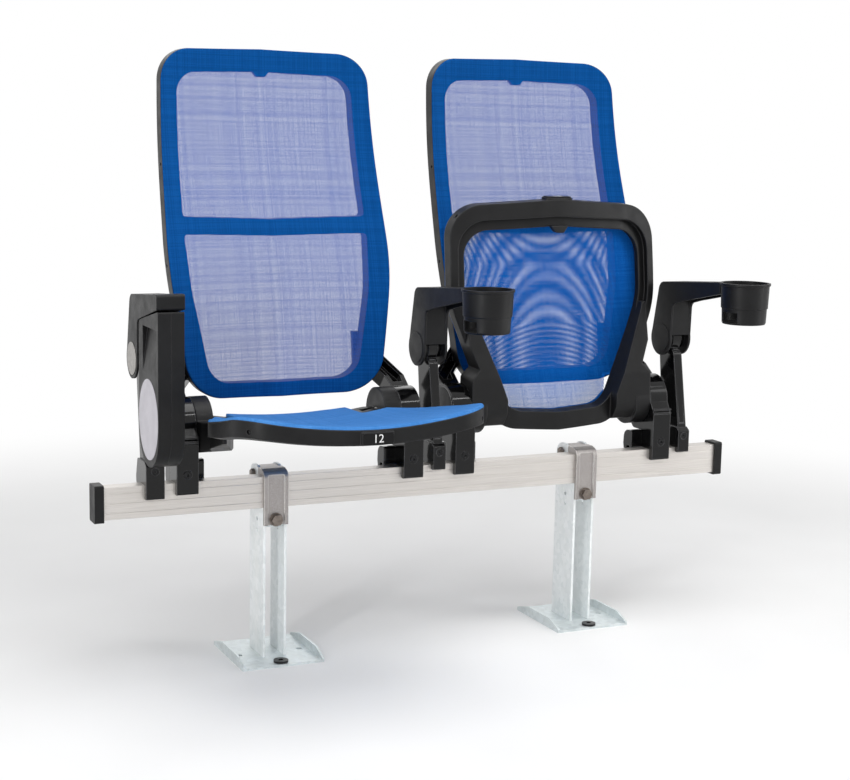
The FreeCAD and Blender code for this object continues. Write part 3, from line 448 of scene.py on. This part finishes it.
# Cloth over a CAD surface: each point drops along one axis onto it, and the hem rolls over the edge.
# The place of a point is given by x in m and its height or reach in mm.
def layCloth(name, plan, surface, place, drop, centre):
    flat, hem = cutCloth(plan)
    points = np.array([v.co[:2] for v in flat.verts])
    edge = distanceInside(points, hem)
    openness = np.max([distanceInside(points, ringOf(flatOutline(w))) for w in plan["windows"]], axis=0)
    if plan["tab"]:
        openness = np.minimum(openness, -distanceInside(points, np.array(plan["tab"])))
    flat.verts.index_update()
    bvh = BVHTree.FromObject(surface, bpy.context.evaluated_depsgraph_get())
    for vertex, d in zip(flat.verts, edge):
        x, v = vertex.co.x, vertex.co.y
        inward = 0.995 if d < 0.5 else 1.0        # rays at the hem start just inside the solid's outline
        start = place(centre + x * inward * millimetre, v)
        hit = bvh.ray_cast(start, drop)[0] or bvh.find_nearest(start + drop)[0]
        roll = plan["roll"]
        lean = roll - math.sqrt(max(roll * roll - max(roll - d, 0.0) ** 2, 0.0))
        spot = place(centre + x * millimetre, v)
        vertex.co = spot + drop * ((hit - start).dot(drop) + lean * millimetre)
    uv = flat.loops.layers.uv.new("threads")
    for face in flat.faces:
        face.smooth = True
        for loop in face.loops:
            loop[uv].uv = points[loop.vert.index] * millimetre
    bmesh.ops.recalc_face_normals(flat, faces=flat.faces[:])
    mesh = bpy.data.meshes.new(name)
    flat.to_mesh(mesh)
    flat.free()
    mesh.attributes.new("windowDistance", "FLOAT", "POINT").data.foreach_set(
        "value", (openness * millimetre).astype(np.float32))
    return inScene(name, mesh)


def middleOf(node):
    low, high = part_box(node)
    return (low.x + high.x) / 2


def copied(piece, name, turn):
    other = inScene(name, piece.data.copy())
    other.data.transform(turn)
    return other


# The folded pad's cloth is pulled askew, so its threads beat against the back's in curved bands
askew = {
    "depths": (-0.044, 0.15, 0.26, 0.383),     # m from the hinge
    "pulls": (0.0, 0.046, 0.060, 0.064),       # m sideways
    "bow": -0.35,
}


def pullAskew(cloth, setup):
    threads = cloth.data.uv_layers["threads"].data
    uv = np.empty(len(threads) * 2)
    threads.foreach_get("uv", uv)
    uv = uv.reshape(-1, 2)
    uv[:, 0] += np.interp(uv[:, 1], setup["depths"], setup["pulls"]) + setup["bow"] * uv[:, 0] ** 2
    threads.foreach_set("uv", uv.ravel())


leftCentre = middleOf("back_frame_left")
rightCentre = middleOf("back_frame_right")
hinge = Vector(joints["seat_left_hinge"]["pos_m"])
across = Matrix.Translation((rightCentre - leftCentre, 0, 0))
foldAngle = math.radians(joints["seat_right_hinge"]["range_deg"][0])
foldUp = Matrix.Translation(hinge) @ Matrix.Rotation(foldAngle, 4, "X") @ Matrix.Translation(-hinge)

backLeft = layCloth("back_cloth_left", backCloth, nodes["back_mesh_left"],
                    lambda x, v: Vector((x, -1.0, v * millimetre)), Vector((0, 1, 0)), leftCentre)
panLeft = layCloth("pan_cloth_left", panCloth, nodes["pan_mesh_left"],
                   lambda x, v: Vector((x, hinge.y - v * millimetre, 1.0)), Vector((0, 0, -1)), leftCentre)
backRight = copied(backLeft, "back_cloth_right", across)
panRight = copied(panLeft, "pan_cloth_right", across @ foldUp)
pullAskew(panRight, askew)
# Each pad takes its lighter copy of the cloth: painted sheen on the left, painted front light on the right
padFinish = {
    "left": knittedMesh("knitted_mesh_pan_closed", padLookPaintedSheen),
    "right": knittedMesh("knitted_mesh_pan_painted_light", foldedLookPaintedLight),
}
for side, back, pan in (("left", backLeft, panLeft), ("right", backRight, panRight)):
    back.data.materials.append(finishes["blue_mesh"])
    pan.data.materials.append(padFinish[side])
    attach(back, "frame")
    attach(pan, "seat_" + side)
    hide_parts("back_mesh_" + side)
    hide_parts("pan_mesh_" + side)
print("cloth laid over backs and pans")


# Digits printed on the number plates
numberPrint = {
    "left": "12",
    "right": "13",
    "size": 18.9,       # mm of type, which gives digits about 14 mm high
    "proud": 0.25,      # mm
}
digitInk = makeFinish("white_print", plainSkin("#DADADA", "#E8E8E8", 0.5))


def digitsOn(side, setup, turn):
    curve = bpy.data.curves.new("digits_" + side, "FONT")
    curve.body = setup[side]
    curve.align_x = "CENTER"
    curve.align_y = "CENTER"
    curve.size = setup["size"] * millimetre
    curve.extrude = setup["proud"] * millimetre
    drawn = bpy.data.objects.new("drawn_" + side, curve)
    mesh = bpy.data.meshes.new_from_object(drawn)
    bpy.data.objects.remove(drawn)
    low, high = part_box("number_plate_left")
    middle = Matrix.Translation(((low.x + high.x) / 2, low.y, (low.z + high.z) / 2))
    mesh.transform(turn @ middle @ Matrix.Rotation(math.pi / 2, 4, "X"))
    mesh.materials.clear()
    mesh.materials.append(digitInk)
    digits = inScene("digits_" + side, mesh)
    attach(digits, "seat_" + side)


digitsOn("left", numberPrint, Matrix())
digitsOn("right", numberPrint, across @ foldUp)
print("digits printed")


# Floor, backdrop and lamps
stageSetup = {
    "world": 0.37,          # how much the backdrop lights the object
    "floor": "#EDEDED",
    "floorCloud": "#F6F6F6",
    "cloudSize": 0.9,       # m
    "reach": 30,            # m
    "nearFloor": 1.1,       # m from the middle where the floor starts to pale into the backdrop
    "farFloor": 2.4,
}
lamps = {                   # where each stands, what it looks at, its width and height in m, and its power
    "key": ((-2.6, -2.2, 2.6), (0, 0, 0.5), (1.6, 1.6), 22.0),
    "fill": ((2.8, -1.8, 1.6), (0, 0, 0.5), (1.4, 2.0), 22.0),
    "rear": ((0.6, 2.8, 2.2), (0, 0, 0.6), (2.4, 1.2), 10.0),
    "top": ((0, -0.4, 3.2), (0, 0, 0), (2.0, 2.0), 45.0),
    "strip": ((-1.9, -1.4, 0.75), (0, 0, 0.75), (0.10, 1.4), 14.0),
    "far_strip": ((2.1, -1.2, 0.75), (0, 0, 0.75), (0.10, 1.4), 4.0),
    "bar": ((0.6, -1.4, 2.2), (0, 0, 0.4), (2.4, 0.09), 11.0),
}


# Rays that look at the backdrop itself, straight, through the mesh or off a polished face
def lookingRays(tree):
    path = add(tree, "ShaderNodeLightPath").node
    seen = path.outputs["Is Camera Ray"]
    for name in ("Is Transmission Ray", "Is Glossy Ray"):
        seen = add(tree, "ShaderNodeMath", {0: seen, 1: path.outputs[name]}, operation="MAXIMUM")
    return seen


def makeFloor(setup):
    sheet = bmesh.new()
    bmesh.ops.create_grid(sheet, x_segments=1, y_segments=1, size=setup["reach"])
    mesh = bpy.data.meshes.new("floor")
    sheet.to_mesh(mesh)
    sheet.free()
    floor = inScene("floor", mesh)
    material = newMaterial("pale_floor")
    tree = material.node_tree
    place = add(tree, "ShaderNodeTexCoord", out="Object")
    cloud = add(tree, "ShaderNodeTexNoise", {
        "Vector": place, "Scale": 1 / setup["cloudSize"], "Detail": 3.0, "Roughness": 0.55})
    part = add(tree, "ShaderNodeMapRange", {"Value": cloud, "From Min": 0.3, "From Max": 0.7})
    colour = add(tree, "ShaderNodeMix", {0: part, 6: linear(setup["floor"]), 7: linear(setup["floorCloud"])},
                 out=2, data_type="RGBA")
    shader = add(tree, "ShaderNodeBsdfPrincipled", {"Base Color": colour, "Roughness": 0.7})
    away = add(tree, "ShaderNodeVectorMath", {0: place}, out="Value", operation="LENGTH")
    pale = add(tree, "ShaderNodeMapRange", {
        "Value": away, "From Min": setup["nearFloor"], "From Max": setup["farFloor"]},
        interpolation_type="SMOOTHSTEP")
    share = add(tree, "ShaderNodeMath", {0: pale, 1: lookingRays(tree)}, operation="MULTIPLY")
    white = add(tree, "ShaderNodeEmission")
    both = add(tree, "ShaderNodeMixShader", {0: share, 1: shader, 2: white})
    add(tree, "ShaderNodeOutputMaterial", {"Surface": both})
    floor.data.materials.append(material)


def makeWorld(setup):
    world = bpy.data.worlds.new("studio")
    bpy.context.scene.world = world
    world.use_nodes = True
    tree = world.node_tree
    tree.nodes.clear()
    level = add(tree, "ShaderNodeMapRange", {
        "Value": lookingRays(tree), "To Min": setup["world"], "To Max": 1.0})
    sky = add(tree, "ShaderNodeBackground", {"Strength": level, "Color": (1, 1, 1, 1)})
    add(tree, "ShaderNodeOutputWorld", {"Surface": sky})


def softbox(name, place, target, size, power):
    lamp = bpy.data.lights.new(name, "AREA")
    lamp.shape = "RECTANGLE"
    lamp.size, lamp.size_y = size
    lamp.energy = power
    box = inScene(name, lamp)
    box.location = place
    box.rotation_mode = "QUATERNION"
    box.rotation_quaternion = (Vector(target) - Vector(place)).to_track_quat("-Z", "Y")


makeFloor(stageSetup)
makeWorld(stageSetup)
for name, setup in lamps.items():
    softbox(name, *setup)
bpy.context.scene.view_settings.view_transform = "Standard"
print("light and floor set")
